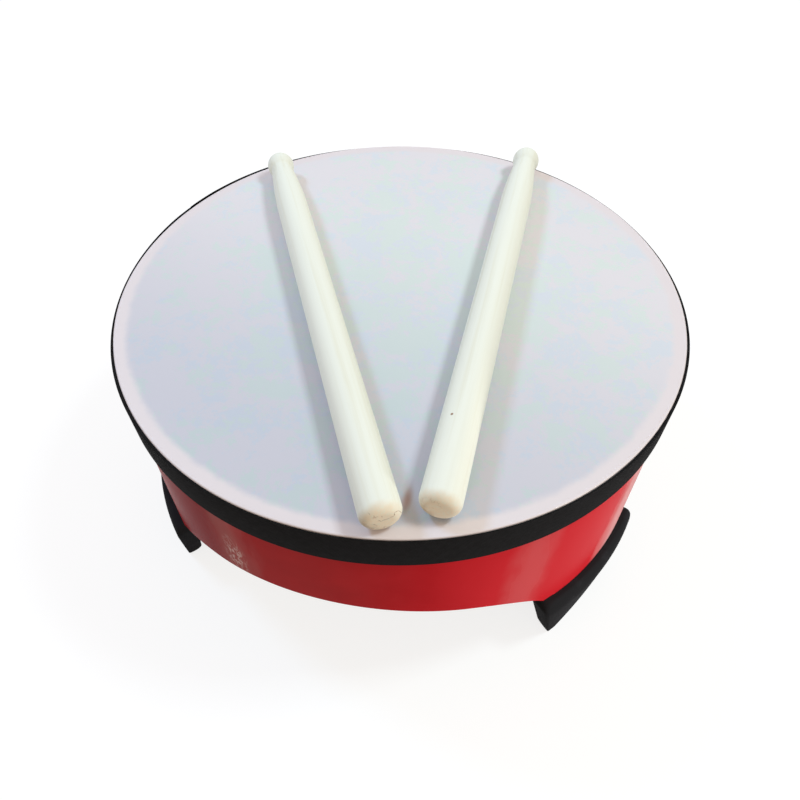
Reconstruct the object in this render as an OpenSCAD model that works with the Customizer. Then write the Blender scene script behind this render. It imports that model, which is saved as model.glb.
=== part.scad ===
// Floor drum with an arched plywood shell, three moulded feet and two loose drumsticks.
// Millimetres. The origin is on the floor under the drum's axis, +Z is up, -Y is the player's side.

/* [Shell] */
// Outside diameter over the ribbon
drum_d = 254; // [200:1:320]
// Height from the floor to the top of the head
drum_h = 127; // [110:1:180]
// Thickness of the plywood wall
wall_t = 5; // [4:0.5:9]
// Rounding of the wall's top outer edge
edge_r = 1; // [0.5:0.25:3]
// Width of the butt seam where the bent strip's ends meet
seam_w = 0.3; // [0.2:0.1:0.6]
// Direction of the seam round the drum, in degrees
seam_angle = 150; // [135:1:165]

/* [Arches] */
// Height of each arch above the tops of the feet
arch_rise = 32.4; // [28:0.2:42]
// Radius of the arch's haunches
haunch_r = 53; // [48:0.5:56]
// Depth of the haunches' centres below the tops of the feet
haunch_drop = 26; // [20:0.5:30]
// Width of the wall where it stands on a foot
lobe_w = 69; // [62:0.5:73]

/* [Joint strip] */
// Width of the strip along the wall
strip_w = 60; // [40:1:80]
// Height of the strip
strip_h = 44; // [30:1:46]
// Thickness of the strip
strip_t = 2.5; // [1.5:0.5:4]
// Distance of the strip from the wall's top edge
strip_drop = 5; // [2:0.5:7]

/* [Head] */
// Thickness of the skin
skin_t = 0.4; // [0.3:0.1:0.8]
// Height of the collar that is turned down outside the wall
collar_h = 14; // [12:0.5:20]

/* [Ribbon] */
// Width of the ribbon
ribbon_w = 17; // [14:0.2:22]
// Thickness of the ribbon
ribbon_t = 0.5; // [0.4:0.1:1.2]
// Distance of the ribbon's upper edge below the top of the head
ribbon_drop = 0.5; // [0.2:0.1:2]

/* [Staples] */
// Number of staples round the collar
staple_count = 20; // [12:1:28]
// Width of a staple's crown
staple_w = 10; // [8:0.5:13]
// Thickness of the wire
wire_t = 0.6; // [0.4:0.1:0.8]
// Flattened thickness of the crown
crown_t = 0.3; // [0.2:0.05:0.35]
// Length of the legs
leg_len = 4.5; // [3:0.5:5]
// Distance of the staples below the top of the head
staple_drop = 9; // [7:0.5:10]

/* [Feet] */
// Height of a foot
foot_h = 37; // [30:1:45]
// Width of a foot's outer face at its top
foot_top_w = 76; // [70:0.5:84]
// Width of a foot's outer face on the floor
foot_base_w = 56.4; // [45:0.2:60]
// How far the top of a foot stands out from the wall
foot_proud = 3.8; // [3.6:0.2:8]
// How far the outer face leans in on its way to the floor
foot_lean = 1.4; // [0:0.2:4]
// Thickness of a foot on the floor
foot_base_t = 7.2; // [6:0.2:10]
// Rounding of the foot's top edge
foot_round = 2.5; // [1:0.25:3.5]
// Rounding of the foot's top corners
foot_corner = 4; // [2:0.5:6]
// Rounding of the foot's inner edge on the floor
foot_heel = 5; // [1:0.25:6]
// Depth of the pocket that holds the wall's tongue
pocket_h = 14; // [10:0.5:18]
// How far a tongue's root reaches up into the wall
tongue_root = 20; // [10:0.5:25]
// Width of the shoulder beside the tongue
shoulder_w = 9; // [8.5:0.5:12]

/* [Screws] */
// Diameter of the shank
screw_d = 2.9; // [2.4:0.1:3.5]
// Length under the head
screw_len = 7.5; // [7:0.5:8]
// Diameter of the pan head
screw_head_d = 6; // [5:0.2:7]
// Diameter of the blunt point
screw_tip_d = 0.4; // [0.2:0.1:0.8]
// Height of the pan head
screw_head_h = 1.8; // [1.4:0.1:2.4]
// Length of the cross recess
recess_len = 3.2; // [2.4:0.2:4]
// Width of the cross recess
recess_w = 0.8; // [0.6:0.1:1]
// Depth of the cross recess
recess_depth = 1; // [0.6:0.1:1.2]
// Distance between a foot's two screws
screw_spacing = 30; // [20:1:36]

/* [Sticks] */
// Length of a stick
stick_len = 232.2; // [200:0.2:260]
// Diameter at the butt
butt_d = 15.5; // [13:0.1:17]
// Rounding of the butt's edge
butt_round = 4.25; // [1.5:0.25:5]
// Diameter at the shoulder, where the taper to the neck starts
shoulder_d = 15; // [12.5:0.1:16]
// Diameter at the neck
neck_d = 10.9; // [9:0.1:12]
// Diameter of the tip's bead
bead_d = 13.6; // [12.4:0.1:14.4]
// Length of the bead, from the neck to the end
bead_len = 13; // [10:0.5:16]
// Length of the taper from the shoulder to the neck
taper_len = 36; // [8:0.5:50]
// Turn of the pair about the drum's axis, in degrees
pair_turn = 13; // [-20:1:30]
// Distance of the left butt from the drum's edge
left_inset = 3; // [2:0.1:20]
// Sideways place of the left butt
left_side = -5.7; // [-16:0.1:-4]
// Angle of the left stick, in degrees
left_splay = 14.9; // [8:0.1:22]
// Distance of the right butt from the drum's edge
right_inset = 7.3; // [2:0.1:20]
// Sideways place of the right butt
right_side = 12.9; // [12:0.1:26]
// Angle of the right stick, in degrees
right_splay = -14.1; // [-22:0.1:-8]

/* [Fits] */
// Glue line between glued pieces
glue_t = 0.1; // [0.05:0.05:0.2]
// Room for the staples between the skin and the ribbon
staple_room = 0.4; // [0.4:0.05:0.6]
// Gap between the tongue and the pocket
pocket_fit = 0.15; // [0.05:0.05:0.4]
// Gap round a screw's shank
screw_fit = 0.05; // [0.05:0.05:0.15]
// Gap between a screw's head and the curved wall
head_fit = 0.1; // [0.05:0.05:0.2]
// Gap between a lying stick and the head
lie_gap = 0.3; // [0.2:0.05:0.5]

/* [Hidden] */
$fn = 96;

// Directions of the feet round the drum; the arches lie between them
right_angle = 330;
left_angle = 210;
back_angle = 90;
foot_angles = [back_angle, left_angle, right_angle];
foot_step = 360 / len(foot_angles);

// Radii from the ribbon inwards
drum_r = drum_d / 2;
ribbon_in_r = drum_r - ribbon_t;
skin_r = ribbon_in_r - staple_room;
shell_r = skin_r - skin_t - glue_t;
shell_in_r = shell_r - wall_t;
skin_under = drum_h - skin_t;
shell_top = skin_under - glue_t;

// Foot and tongue
foot_top_r = shell_r + foot_proud;
foot_base_r = foot_top_r - foot_lean;
foot_base_in_r = foot_base_r - foot_base_t;
seat_z = foot_h - pocket_h;
tongue_w = foot_top_w - 2 * shoulder_w;
foot_reach = 2 * foot_top_r;
end_turn = asin(foot_base_w / 2 / foot_base_r);
end_tilt = atan((foot_top_w - foot_base_w) / 2 / foot_h);

// Arch: a crown arc that runs smoothly into two haunch arcs, with heights from the tops of the feet
arch_half = shell_r * sin(foot_step / 2 - asin(lobe_w / 2 / shell_r));
haunch_x = arch_half - sqrt(haunch_r * haunch_r - haunch_drop * haunch_drop);
haunch_rise = arch_rise + haunch_drop;
crown_r = (haunch_x * haunch_x / (haunch_rise - haunch_r) + haunch_rise + haunch_r) / 2;
crown_z = arch_rise - crown_r;
tangent = [haunch_x, -haunch_drop - crown_z] * crown_r / (crown_r - haunch_r);
tangent_z = tangent[1] + crown_z;
cut_over = 1;

// Screws
screw_z = seat_z + pocket_h / 2;
screw_turn = asin(screw_spacing / 2 / shell_in_r);
screw_seat_r = shell_in_r - head_fit;

// Stick outline
shaft_len = stick_len - bead_len - taper_len;
lie_angle = atan((butt_d - shoulder_d) / 2 / shaft_len);
arc_steps = 10;

// Quarter-rounded outer top corner on a rectangle in the radius and height plane
module rounded_wall(r_in, r_out, z_low, z_top, round_r) {
  translate([r_in, z_low]) square([r_out - r_in - round_r, z_top - z_low]);
  translate([r_in, z_low]) square([r_out - r_in, z_top - z_low - round_r]);
  translate([r_out - round_r, z_top - round_r]) circle(round_r);
}

// Ring of rectangular section
module ring(r_in, r_out, z_low, z_top) {
  rotate_extrude() translate([r_in, z_low]) square([r_out - r_in, z_top - z_low]);
}

// Part of a ring, centred on the +X axis
module arc_strip(r_in, r_out, z_low, z_top, spread) {
  rotate([0, 0, -spread / 2])
    rotate_extrude(angle = spread)
      translate([r_in, z_low]) square([r_out - r_in, z_top - z_low]);
}

// Upright prism that runs out along +X from the axis, with its outline in the Y and Z plane
module outward_prism(reach) {
  rotate([90, 0, 90]) linear_extrude(height = reach) children();
}

// Outline of an arch, with the tops of the feet at height 0
module arch_outline() {
  intersection() {
    translate([0, crown_z]) circle(crown_r, $fn = 200);
    translate([-tangent[0], tangent_z]) square([2 * tangent[0], arch_rise - tangent_z + cut_over]);
  }
  polygon([[-haunch_x, -haunch_drop], [haunch_x, -haunch_drop],
           [tangent[0], tangent_z], [-tangent[0], tangent_z]]);
  for (side = [-1, 1]) translate([side * haunch_x, -haunch_drop]) circle(haunch_r);
}

module arches() {
  for (a = foot_angles)
    rotate([0, 0, a + foot_step / 2])
      translate([0, 0, foot_h])
        outward_prism(foot_reach) arch_outline();
}

// Tongues of the wall that stand in the pockets of the feet, with their roots up in the wall
module tongues() {
  intersection() {
    ring(shell_in_r, shell_r, seat_z, foot_h + tongue_root);
    for (a = foot_angles)
      rotate([0, 0, a]) outward_prism(foot_reach)
        translate([-tongue_w / 2, 0]) square([tongue_w, drum_h]);
  }
}

// Puts a screw's own frame, with its axis along +Z, at each of one foot's two screws
module at_screws(angle) {
  for (side = [-1, 1])
    rotate([0, 0, angle + side * screw_turn])
      translate([screw_seat_r, 0, screw_z])
        rotate([0, 90, 0]) children();
}

module screw_holes(angle) {
  at_screws(angle) cylinder(h = screw_len + screw_fit, r = screw_d / 2 + screw_fit);
}

// Legs of all the staples, also cut out of the skin and the wall
module staple_legs() {
  leg_turn = asin((staple_w - wire_t) / 2 / skin_r);
  for (i = [0 : staple_count - 1], side = [-1, 1])
    rotate([0, 0, (i + 0.5) * 360 / staple_count + side * leg_turn])
      translate([skin_r - leg_len, -wire_t / 2, drum_h - staple_drop - wire_t / 2])
        cube([leg_len + staple_room / 2, wire_t, wire_t]);
}

module shell() {
  color("firebrick")
    difference() {
      union() {
        difference() {
          rotate_extrude() rounded_wall(shell_in_r, shell_r, foot_h, shell_top, edge_r);
          arches();
        }
        tongues();
      }
      rotate([0, 0, seam_angle])
        translate([0, -seam_w / 2, foot_h]) cube([foot_reach, seam_w, drum_h]);
      for (a = foot_angles) screw_holes(a);
      staple_legs();
    }
}

module joint_strip() {
  strip_r = shell_in_r - glue_t;
  strip_top = shell_top - strip_drop;
  spread = 2 * asin(strip_w / 2 / strip_r);
  color("burlywood")
    rotate([0, 0, seam_angle])
      arc_strip(strip_r - strip_t, strip_r, strip_top - strip_h, strip_top, spread);
}

module head() {
  color("lavender")
    difference() {
      rotate_extrude()
        difference() {
          rounded_wall(0, skin_r, drum_h - collar_h, drum_h, edge_r + skin_t);
          translate([0, -cut_over])
            rounded_wall(0, skin_r - skin_t, drum_h - collar_h, skin_under + cut_over, edge_r);
        }
      staple_legs();
    }
}

module head_staples() {
  crown_r_in = skin_r + (staple_room - crown_t) / 2;
  spread = 2 * asin(staple_w / 2 / skin_r);
  color("silver") {
    for (i = [0 : staple_count - 1])
      rotate([0, 0, (i + 0.5) * 360 / staple_count])
        arc_strip(crown_r_in, crown_r_in + crown_t, drum_h - staple_drop - wire_t / 2,
                  drum_h - staple_drop + wire_t / 2, spread);
    staple_legs();
  }
}

module rim_band() {
  ribbon_top = drum_h - ribbon_drop;
  color("black") ring(ribbon_in_r, drum_r, ribbon_top - ribbon_w, ribbon_top);
}

// Cross-section of a foot in the radius and height plane, with a rounded ledge and a rounded heel
module foot_section() {
  inner_tilt = atan((foot_base_in_r - shell_in_r) / foot_h);
  heel_r = foot_base_in_r - foot_heel * tan(inner_tilt) + foot_heel / cos(inner_tilt);
  polygon([[heel_r, 0], [foot_base_r, 0], [foot_top_r, foot_h - foot_round],
           [foot_top_r - foot_round, foot_h], [shell_in_r, foot_h],
           [heel_r - foot_heel * cos(inner_tilt), foot_heel * (1 - sin(inner_tilt))]]);
  translate([foot_top_r - foot_round, foot_h - foot_round]) circle(foot_round);
  translate([heel_r, foot_heel]) circle(foot_heel);
}

// Face of a foot up to one of its ends, which leans out from the floor to a rounded top corner
module foot_end() {
  corner = [(foot_h - foot_corner) * tan(end_tilt) - foot_corner / cos(end_tilt), foot_h - foot_corner];
  polygon([[-foot_reach, 0], [0, 0], corner + foot_corner * [cos(end_tilt), -sin(end_tilt)],
           [corner[0], foot_h], [-foot_reach, foot_h]]);
  translate(corner) circle(foot_corner);
}

module foot(angle) {
  pocket_w = tongue_w + 2 * pocket_fit;
  color("dimgray")
    difference() {
      rotate([0, 0, angle])
        difference() {
          intersection() {
            rotate([0, 0, -foot_step / 4])
              rotate_extrude(angle = foot_step / 2) foot_section();
            rotate([0, 0, end_turn]) outward_prism(foot_reach) foot_end();
            mirror([0, 1, 0]) rotate([0, 0, end_turn]) outward_prism(foot_reach) foot_end();
          }
          intersection() {
            ring(shell_in_r - wall_t, shell_r + pocket_fit, seat_z, drum_h);
            outward_prism(foot_reach) translate([-pocket_w / 2, 0]) square([pocket_w, drum_h]);
          }
        }
      screw_holes(angle);
    }
}

module foot_right() { foot(right_angle); }
module foot_left() { foot(left_angle); }
module foot_back() { foot(back_angle); }

// Pan-head screw with its head's underside at height 0
module screw() {
  point_len = screw_d / 2;
  dome_r = screw_head_h / 2;
  cylinder(h = screw_len - point_len, r = screw_d / 2);
  translate([0, 0, screw_len - point_len]) cylinder(h = point_len, r1 = screw_d / 2, r2 = screw_tip_d / 2);
  difference() {
    mirror([0, 0, 1]) rotate_extrude() rounded_wall(0, screw_head_d / 2, 0, screw_head_h, dome_r);
    for (turn = [0, 90])
      rotate([0, 0, turn])
        translate([-recess_len / 2, -recess_w / 2, -screw_head_h - cut_over])
          cube([recess_len, recess_w, recess_depth + cut_over]);
  }
}

module foot_screws(angle) {
  color("gainsboro") at_screws(angle) screw();
}

module foot_screws_right() { foot_screws(right_angle); }
module foot_screws_left() { foot_screws(left_angle); }
module foot_screws_back() { foot_screws(back_angle); }

// Outline of a stick from the butt at 0 to the end of the bead
function butt_edge() = [for (i = [0 : arc_steps])
  let (a = 90 * i / arc_steps)
  [butt_d / 2 - butt_round * (1 - sin(a)), butt_round * (1 - cos(a))]];
function neck_taper() = [for (i = [0 : arc_steps])
  let (t = i / arc_steps)
  [neck_d / 2 + (shoulder_d - neck_d) / 2 * cos(90 * t), shaft_len + taper_len * t]];
function bead_start() = acos(neck_d / bead_d);
function bead() = [for (i = [1 : 2 * arc_steps])
  let (a = -bead_start() + (90 + bead_start()) * i / (2 * arc_steps),
       low = sin(bead_start()))
  [bead_d / 2 * cos(a), stick_len - bead_len * (1 - (sin(a) + low) / (1 + low))]];

module stick() {
  rotate([-90, 0, 0])
    rotate_extrude()
      polygon(concat([[0, 0]], butt_edge(), neck_taper(), bead()));
}

// A stick laid on the head along its tapered shaft
module laid_stick(side, inset, splay) {
  color("wheat")
    rotate([0, 0, pair_turn])
      translate([side, inset - drum_r, drum_h + lie_gap + butt_d / 2])
        rotate([0, 0, splay])
          rotate([-lie_angle, 0, 0]) stick();
}

module stick_left() { laid_stick(left_side, left_inset, left_splay); }
module stick_right() { laid_stick(right_side, right_inset, right_splay); }

shell();
joint_strip();
head();
head_staples();
rim_band();
foot_right();
foot_left();
foot_back();
foot_screws_right();
foot_screws_left();
foot_screws_back();
stick_left();
stick_right();
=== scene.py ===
"""Finished looks for a small floor drum and its two drumsticks, built round the drum's solid parts."""

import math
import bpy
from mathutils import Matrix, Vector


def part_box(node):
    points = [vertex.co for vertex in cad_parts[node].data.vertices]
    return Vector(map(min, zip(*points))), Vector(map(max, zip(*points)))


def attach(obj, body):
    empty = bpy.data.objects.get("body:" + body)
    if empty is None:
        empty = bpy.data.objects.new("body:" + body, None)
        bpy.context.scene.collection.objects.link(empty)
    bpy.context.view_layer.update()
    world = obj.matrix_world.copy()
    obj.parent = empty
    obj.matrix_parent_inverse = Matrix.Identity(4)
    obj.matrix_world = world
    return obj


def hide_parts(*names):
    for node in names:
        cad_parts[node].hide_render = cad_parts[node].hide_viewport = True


bl_info = {
    "name": "Floor Drum",
    "version": (1, 0, 0),
    "blender": (4, 5, 0),
    "location": "View3D > Sidebar > Floor Drum",
    "description": "Makes the shell, head, ribbon, feet and sticks of a small floor drum",
    "category": "Object",
}

import bmesh
import bpy
import numpy as np
from bpy.props import FloatProperty, FloatVectorProperty, PointerProperty
from mathutils import Color, Euler, Matrix, Vector

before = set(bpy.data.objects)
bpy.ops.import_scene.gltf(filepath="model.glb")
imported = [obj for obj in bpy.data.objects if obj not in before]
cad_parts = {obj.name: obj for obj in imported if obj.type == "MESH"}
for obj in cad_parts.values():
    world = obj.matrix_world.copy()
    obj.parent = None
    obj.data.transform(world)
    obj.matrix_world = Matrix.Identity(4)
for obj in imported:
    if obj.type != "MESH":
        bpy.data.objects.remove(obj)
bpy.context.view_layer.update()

SHELL_LOW, SHELL_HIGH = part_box("shell")
STRIP_LOW, STRIP_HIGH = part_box("joint_strip")
HEAD_LOW, HEAD_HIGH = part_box("head")
BAND_LOW, BAND_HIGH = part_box("rim_band")
FOOT_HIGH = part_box("foot_back")[1]

DRUM_BODY = "drum"

# Directions of the feet in degrees, in order round the drum from the seam
FOOT_ANGLES = {"left": 210, "right": 330, "back": 450}
FOOT_STEP = math.radians(120)
SEAM_TURN = math.radians(FOOT_ANGLES["left"]) - FOOT_STEP / 2

# Place of the small knot in its stick's own frame, where Z runs from the butt to the bead
KNOT = (-0.0031, -0.007, 0.0364)

RIBBON_THICKNESS = 0.0005

# Edges that turn by more than this, in degrees, are rounded or kept sharp
SHARP_EDGE = 40

# Steps round the round pieces
HEAD_STEPS = 240
RIBBON_STEPS = 368
STICK_STEPS = 64
FLOOR_STEPS = 64


# Settings

def length(name, default, description):
    """A size in metres that a user may change."""
    return FloatProperty(name=name, description=description, default=default, unit="LENGTH", precision=5)


def angle(name, default, description):
    """An angle that a user may change, with its default in degrees."""
    return FloatProperty(name=name, description=description, default=math.radians(default),
                         subtype="ANGLE")


def level(name, default, description):
    """A plain number that a user may change."""
    return FloatProperty(name=name, description=description, default=default, min=0, precision=3)


def shown(red, green, blue):
    """A colour as it shows on a screen, from 0 to 255, as Blender's linear colour."""
    return tuple(Color((red / 255, green / 255, blue / 255)).from_srgb_to_scene_linear())


def colour(name, default, description):
    """A colour that a user may change, with its default as it shows on a screen."""
    return FloatVectorProperty(name=name, description=description, default=shown(*default),
                               subtype="COLOR", size=3, min=0, max=1)


class ShellSettings(bpy.types.PropertyGroup):
    """Sizes and colours of the bent plywood wall and the strip that joins its ends"""

    radius: length("Radius", SHELL_HIGH.x, "Outside radius of the wall")
    top: length("Top", SHELL_HIGH.z, "Height of the wall's top edge")
    tongue_low: length("Tongue end", SHELL_LOW.z, "Height where the wall's tongues end in the feet")
    wall: length("Wall", 0.005, "Thickness of the plywood")
    top_round: length("Top rounding", 0.001, "Rounding of the top outer edge, under the skin")
    rise: length("Arch rise", 0.0324, "Height of each arch above the feet")
    haunch: length("Haunch radius", 0.053, "Radius of the arches' haunches")
    haunch_drop: length("Haunch depth", 0.026, "Depth of the haunches' centres below the feet's tops")
    lobe: length("Lobe width", 0.069, "Width of the wall where it stands on a foot")
    tongue: length("Tongue width", 0.058, "Width of each tongue")
    seam: length("Seam", 0.0003, "Width of the seam where the bent strip's ends meet")
    strip_width: length("Joint strip width", 0.060, "Width of the strip behind the seam")
    strip_radius: length("Joint strip radius", 0.1205, "Outside radius of the strip behind the seam")
    strip_wall: length("Joint strip thickness", 0.0025, "Thickness of the strip behind the seam")
    edge: length("Edge rounding", 0.0005, "Rounding of the sawn edges")
    lacquer: colour("Lacquer", (185, 28, 35), "Red of the lacquer")
    lacquer_deep: colour("Deep lacquer", (176, 24, 31), "Red where the lacquer lies thicker")
    # Painted shade: a darker red over the wall's left, where less light falls
    lacquer_painted_shade: colour("Dark lacquer", (148, 22, 28), "Red of a darker part of the wall")
    painted_shade_turn: angle("Dark direction", 237, "Direction of the darker lacquer")
    # Painted light: a brighter red over the wall's right, where the side light falls
    lacquer_painted_light: colour("Bright lacquer", (214, 42, 51), "Red where the lacquer lies thinner")
    painted_light_turn: angle("Bright direction", 314, "Direction of the thinner lacquer")
    # Colour of the painted highlights and reflections on the lacquer, and of the painted glint on its
    # scratched spot
    scuff_and_glare: colour("Scuff", (236, 206, 206), "Fine scratches and haze on the lacquer")
    # Directions of a painted highlight streak, a painted reflection on the right and a broad painted
    # reflection on the left
    highlight_turn: angle("Haze direction", 307.5, "Direction of an upright hazy streak on the wall")
    right_reflection_turn: angle("Worn direction", 337, "Direction of a second, paler streak")
    left_reflection_turn: angle("Dull direction", 262, "Direction of a broad part that has lost its shine")
    # Place and size of a scratched spot with a painted glint
    scuffed_glint_turn: angle("Rub direction", 250.5, "Direction of the rubbed spot on the wall")
    scuffed_glint_height: length("Rub height", 0.0775, "Height of the rubbed spot on the wall")
    scuffed_glint_core: length("Rub core", 0.003, "Reach of the rubbed spot's bare middle")
    scuffed_glint_reach: length("Rub reach", 0.0105, "Reach of the whole rubbed spot")
    ragged: length("Raggedness", 0.004, "How far the edges of tones and streaks stray")
    veneer: colour("Veneer", (214, 184, 140), "Face veneer of the bare plywood")
    veneer_dark: colour("Veneer grain", (178, 140, 96), "Grain lines and cross plies of the plywood")


class HeadSettings(bpy.types.PropertyGroup):
    """Sizes and colours of the drum skin and the ribbon round it"""

    radius: length("Radius", HEAD_HIGH.x, "Outside radius of the skin's collar")
    top: length("Top", HEAD_HIGH.z, "Height of the playing surface")
    low: length("Collar end", HEAD_LOW.z, "Height where the turned-down collar ends")
    skin: length("Skin", 0.0004, "Thickness of the skin")
    lip: length("Lip radius", 0.12635, "Radius of the skin's fold, which swells out to the ribbon")
    lip_low: length("Lip height", 0.0025, "Depth of the fold below the playing surface")
    fold: length("Fold", 0.0007, "Rounding where the skin folds over")
    seat: length("Seat radius", 0.1206, "Radius from which the skin lies on the wall")
    seat_before: length("Seat blur inside", 0.0018, "How far inside the seat its paler ring starts")
    seat_beyond: length("Seat blur outside", 0.002, "How far outside the seat its ring is full")
    seat_stray: length("Seat waviness", 0.0008, "How far the ring's edge strays")
    skin_blue: colour("Blue skin", (213, 217, 223), "Bluish patches of the skin")
    skin_violet: colour("Violet skin", (222, 217, 220), "Violet-grey patches of the skin")
    skin_green: colour("Green skin", (213, 221, 216), "Pale greenish patches of the skin")
    # Painted shade: a tint that darkens the skin towards the front
    skin_painted_shade: colour("Deep skin", (227, 230, 237), "Tint of the front, where less light comes through")
    skin_rim: colour("Rim skin", (224, 214, 215), "Skin over the pale top edge of the wall")
    # A small brown spot near the front edge of the skin, darker in its middle
    stain: colour("Stain", (172, 132, 120), "Small brown stain near the edge")
    mark_x: length("Stain place across", 0.0273, "Place of the stain across the head")
    mark_y: length("Stain place along", -0.1072, "Place of the stain towards the player")
    mark_core: length("Stain core", 0.0002, "Reach of the stain's dark middle")
    mark_reach: length("Stain reach", 0.0026, "Reach of the whole stain")
    band_in: length("Ribbon inside", BAND_HIGH.x - RIBBON_THICKNESS, "Inside radius of the ribbon")
    band: length("Ribbon thickness", RIBBON_THICKNESS, "Thickness of the ribbon")
    band_low: length("Ribbon low edge", BAND_LOW.z, "Height of the ribbon's lower edge")
    band_high: length("Ribbon high edge", BAND_HIGH.z, "Height of the ribbon's upper edge")
    band_lap: length("Ribbon lap", 0.014, "How far the ribbon's end laps over its start")
    band_climb: length("Ribbon climb", 0.012, "How far the ribbon takes to climb over its start")
    band_step: level("Ribbon step", 0.53, "Rise of the lapped end, as a share of the thickness")
    band_wave: length("Ribbon waviness", 0.00015, "How far the ribbon and the fold stray")
    band_rise: length("Ribbon rise", 0.0008, "How far the ribbon stands up beside its lap")
    band_turn: angle("Ribbon end", 155, "Direction of the ribbon's lap round the drum")
    bulge: length("Ribbon bulge", 0.0007, "How far the ribbon's outside swells at two sides")
    bulge_left: angle("Left bulge", 227, "Direction of the bulge on the left")
    bulge_right: angle("Right bulge", 348, "Direction of the bulge on the right")
    thread: length("Thread pitch", 0.0005, "Distance between the ribbon's threads")
    ribbon: colour("Ribbon", (22, 21, 21), "Threads of the black ribbon")
    ribbon_worn: colour("Worn ribbon", (32, 31, 32), "Raised threads of the black ribbon")


class FootSettings(bpy.types.PropertyGroup):
    """Sizes and colours of the moulded feet and their screws"""

    height: length("Height", FOOT_HIGH.z, "Height of a foot")
    reach: length("Reach", FOOT_HIGH.y, "Radius of the top of a foot's outer face")
    top_width: length("Top width", 0.076, "Width of a foot's outer face at its top")
    base_width: length("Base width", 0.0564, "Width of a foot's outer face on the floor")
    lean: length("Lean", 0.0014, "How far the outer face leans in on its way to the floor")
    base: length("Base thickness", 0.0072, "Thickness of a foot on the floor")
    base_flat: length("Base flattening", 0.0014, "How far the outer face is flattened at the floor")
    ledge_round: length("Ledge rounding", 0.0032, "Depth of the rolled top edge")
    ledge_fall: length("Ledge fall", 0.009, "Height over which the top edge rolls down into the face")
    end_round: length("End rounding", 0.0006, "Rounding of the upright outer edges at the floor")
    top_end_round: length("Top end rounding", 0.0025, "Rounding of the upright outer edges at the top")
    floor_round: length("Floor rounding", 0.0004, "Rounding of the outer edge on the floor")
    corner_round: length("Corner rounding", 0.004, "Rounding of the top corners")
    heel_round: length("Heel rounding", 0.005, "Rounding of the inner edge on the floor")
    pocket_gap: length("Pocket gap", 0.00015, "Gap between the wall's tongue and the pocket")
    least_wall: length("Least wall", 0.0003, "Least thickness outside the pocket")
    black: colour("Black", (38, 38, 40), "Colour of the moulded feet")
    black_worn: colour("Worn black", (48, 48, 51), "Rubbed parts of the feet")
    zinc: colour("Zinc", (205, 205, 200), "Plated steel of screws and staples")


class StickSettings(bpy.types.PropertyGroup):
    """Sizes, places and colours of the two drumsticks"""

    length: length("Length", 0.2322, "Length of a stick")
    butt: length("Butt diameter", 0.0155, "Diameter at the butt")
    butt_round: length("Butt rounding", 0.00425, "Rounding of the butt's edge")
    shoulder: length("Shoulder diameter", 0.015, "Diameter where the taper to the neck starts")
    neck: length("Neck diameter", 0.0109, "Diameter at the neck")
    bead: length("Bead diameter", 0.0136, "Diameter of the tip's bead")
    bead_length: length("Bead length", 0.013, "Length of the bead from the neck to the end")
    bead_point: level("Bead point", 1.4, "How pointed the bead is, where 1 is round")
    taper: length("Taper", 0.036, "Length of the taper from the shoulder to the neck")
    gap: length("Gap", 0.0003, "Gap between a lying stick and the skin")
    turn: angle("Pair turn", 13, "Turn of the pair about the drum's axis")
    left_side: length("Left side", -0.0057, "Sideways place of the left butt")
    left_inset: length("Left inset", 0.003, "Distance of the left butt from the drum's edge")
    left_splay: angle("Left splay", 14.9, "Angle of the left stick")
    right_side: length("Right side", 0.0129, "Sideways place of the right butt")
    right_inset: length("Right inset", 0.0073, "Distance of the right butt from the drum's edge")
    right_splay: angle("Right splay", -14.1, "Angle of the right stick")
    ivory: colour("Ivory wood", (237, 239, 227), "Pale wood of the sticks")
    grain: colour("Grain", (228, 227, 208), "Grain lines along the sticks")
    end_grain: colour("End grain", (236, 220, 194), "Sawn wood at the butts")
    # Painted shade: a brown that darkens the lower side of the sawn ends
    end_shade: colour("Dirt", (168, 144, 118), "Dirt rubbed into the sawn ends")
    crack: colour("Crack", (142, 106, 78), "Fine cracks in the end grain and the small knot")
    sawn_core: length("Sawn end", 0.0012, "How far along the stick the sawn end's colour is full")
    sawn_reach: length("Sawn reach", 0.0062, "How far along the stick the sawn end's colour runs")
    sawn_stray: length("Sawn raggedness", 0.003, "How far the edge of the sawn end's colour strays")
    left_cracks: level("Left cracks", 0.8, "Strength of the cracks in the left butt")
    right_cracks: level("Right cracks", 0.15, "Strength of the cracks in the right butt")
    left_knot: level("Left knot", 0, "Strength of the knot in the left stick")
    right_knot: level("Right knot", 1, "Strength of the knot in the right stick")
    knot_core: length("Knot core", 0.0003, "Radius of the knot's dark middle")
    knot_reach: length("Knot reach", 0.0007, "Radius of the whole knot")


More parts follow.
